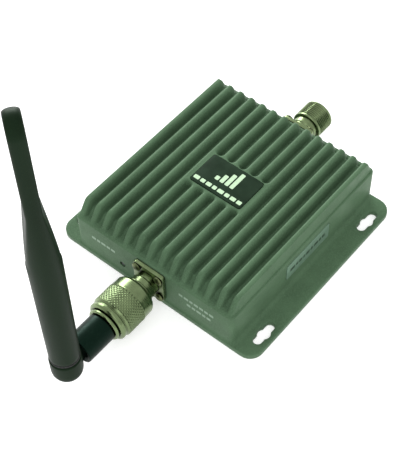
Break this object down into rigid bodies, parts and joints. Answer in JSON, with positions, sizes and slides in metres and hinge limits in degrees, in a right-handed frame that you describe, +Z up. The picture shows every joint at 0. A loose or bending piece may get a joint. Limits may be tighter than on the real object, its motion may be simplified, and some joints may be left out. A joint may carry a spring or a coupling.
{
  "type": "cellular signal booster",
  "caption": "Finned die-cast cellular signal booster box with keyhole flanges, coaxial ports at each end and a swivelling, tilting whip antenna.",
  "frame": {"origin": "centre of the flat underside of the box, which its cover and flanges share", "axes": "X across the fins, Y along the fins with the antenna port at -Y, Z up out of the finned top"},
  "size_m": [0.117, 0.1917, 0.1695],
  "materials": {
    "green_paint": "satin powder coat",
    "black_rubber": "matt",
    "black_stub": "satin moulded",
    "zinc_steel": "zinc plated",
    "board_green": "solder resist",
    "black_plastic": "moulded",
    "thermal_pad": "soft silicone",
    "tinplate": "tinned",
    "ceramic": "glazed ceramic block",
    "clear_lens": "clear polished",
    "dark_label": "printed satin film",
    "label_film": "printed film",
    "nickel": "nickel plated brass",
    "white_ptfe": "waxy",
    "gold_plated_brass": "gold flash",
    "whip_green": "satin moulded"
  },
  "bodies": {
    "housing": {"finned_housing": "green_paint", "bottom_cover": "green_paint", "cover_gasket": "black_rubber", "cover_screw_1": "zinc_steel", "cover_screw_2": "zinc_steel", "cover_screw_3": "zinc_steel", "cover_screw_4": "zinc_steel", "circuit_board": "board_green", "board_screw_1": "zinc_steel", "board_screw_2": "zinc_steel", "board_screw_3": "zinc_steel", "board_screw_4": "zinc_steel", "uplink_power_amplifier": "black_plastic", "downlink_power_amplifier": "black_plastic", "uplink_thermal_pad": "thermal_pad", "downlink_thermal_pad": "thermal_pad", "uplink_shield_can": "tinplate", "downlink_shield_can": "tinplate", "indoor_duplexer": "ceramic", "outdoor_duplexer": "ceramic", "microcontroller": "black_plastic", "voltage_regulator": "black_plastic", "filter_capacitor_1": "tinplate", "filter_capacitor_2": "tinplate", "power_inductor": "black_plastic", "status_led": "clear_lens", "led_light_pipe": "clear_lens", "badge_plate": "dark_label", "side_label_plate": "label_film", "power_jack": "black_plastic", "power_jack_pin": "nickel", "power_jack_nut": "nickel", "indoor_port_body": "nickel", "indoor_port_insulator": "white_ptfe", "indoor_port_contact": "gold_plated_brass", "indoor_port_screw_1": "zinc_steel", "indoor_port_screw_2": "zinc_steel", "indoor_port_screw_3": "zinc_steel", "indoor_port_screw_4": "zinc_steel", "outdoor_port_body": "nickel", "outdoor_port_insulator": "white_ptfe", "outdoor_port_contact": "gold_plated_brass", "outdoor_port_screw_1": "zinc_steel", "outdoor_port_screw_2": "zinc_steel", "outdoor_port_screw_3": "zinc_steel", "outdoor_port_screw_4": "zinc_steel"},
    "coupling_nut": {"coupling_nut": "nickel"},
    "antenna_base": {"plug_body": "nickel", "plug_gasket": "black_rubber", "plug_insulator": "white_ptfe", "plug_pin": "gold_plated_brass", "elbow_stub": "black_stub", "hinge_pin": "zinc_steel"},
    "whip": {"whip_knuckle": "whip_green", "collar_ring": "black_rubber", "antenna_sleeve": "whip_green", "radiating_element": "gold_plated_brass"}
  },
  "joints": [
    {"name": "nut_turn", "type": "hinge", "parent": "housing", "child": "coupling_nut", "pos_m": [0, -0.0643, 0.0135], "axis": [0, 1, 0], "continuous": true},
    {"name": "antenna_swivel", "type": "hinge", "parent": "housing", "child": "antenna_base", "pos_m": [0, -0.0872, 0.0135], "axis": [0, 1, 0], "range_deg": [-90, 90]},
    {"name": "whip_tilt", "type": "hinge", "parent": "antenna_base", "child": "whip", "pos_m": [0, -0.1102, 0.0135], "axis": [1, 0, 0], "range_deg": [0, 90]}
  ]
}
